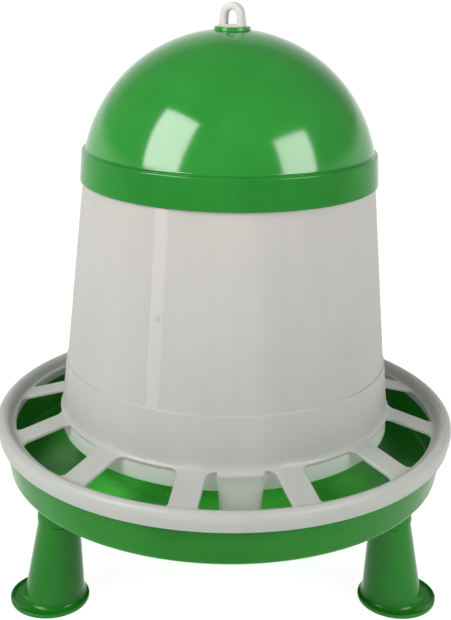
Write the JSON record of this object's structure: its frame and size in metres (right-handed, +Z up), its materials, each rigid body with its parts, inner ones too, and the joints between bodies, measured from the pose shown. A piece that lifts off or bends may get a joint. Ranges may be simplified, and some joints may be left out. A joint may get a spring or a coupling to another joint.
{
  "type": "poultry feeder",
  "caption": "Gravity poultry feeder with a domed lid and hanging eye, a translucent conical hopper with a spoked anti-waste grill, a shallow round pan and push-on legs.",
  "frame": {"origin": "on the floor, on the hopper's axis", "axes": "+Z up along the hopper's axis, -Y out to the front between the two front legs, +X to the right as seen from the front"},
  "size_m": [0.3606, 0.3655, 0.4418],
  "materials": {
    "hopper_milky": "milky translucent moulded polypropylene, satin gloss",
    "pan_green": "glossy green moulded polypropylene",
    "lid_green": "glossy green moulded polypropylene",
    "leg_green": "glossy green moulded polypropylene",
    "eye_white": "white moulded nylon, slightly satin"
  },
  "bodies": {
    "pan": {"pan": "pan_green"},
    "hopper": {"hopper": "hopper_milky"},
    "lid": {"lid": "lid_green"},
    "eye": {"hanging_eye": "eye_white"},
    "leg_front_right": {"leg_front_right": "leg_green"},
    "leg_front_left": {"leg_front_left": "leg_green"},
    "leg_rear": {"leg_rear": "leg_green"}
  },
  "joints": [
    {"name": "hopper_lift", "type": "slide", "parent": "pan", "child": "hopper", "axis": [0, 0, 1], "range_m": [0, 0.16]},
    {"name": "lid_lift", "type": "slide", "parent": "hopper", "child": "lid", "axis": [0, 0, 1], "range_m": [0, 0.13]},
    {"name": "eye_swivel", "type": "hinge", "parent": "lid", "child": "eye", "pos_m": [0, 0, 0.4215], "axis": [0, 0, 1], "continuous": true},
    {"name": "leg_pull_front_right", "type": "slide", "parent": "pan", "child": "leg_front_right", "axis": [0.0755, -0.0436, -0.9962], "range_m": [0, 0.06]},
    {"name": "leg_pull_front_left", "type": "slide", "parent": "pan", "child": "leg_front_left", "axis": [-0.0755, -0.0436, -0.9962], "range_m": [0, 0.06]},
    {"name": "leg_pull_rear", "type": "slide", "parent": "pan", "child": "leg_rear", "axis": [0, 0.0872, -0.9962], "range_m": [0, 0.06]}
  ]
}
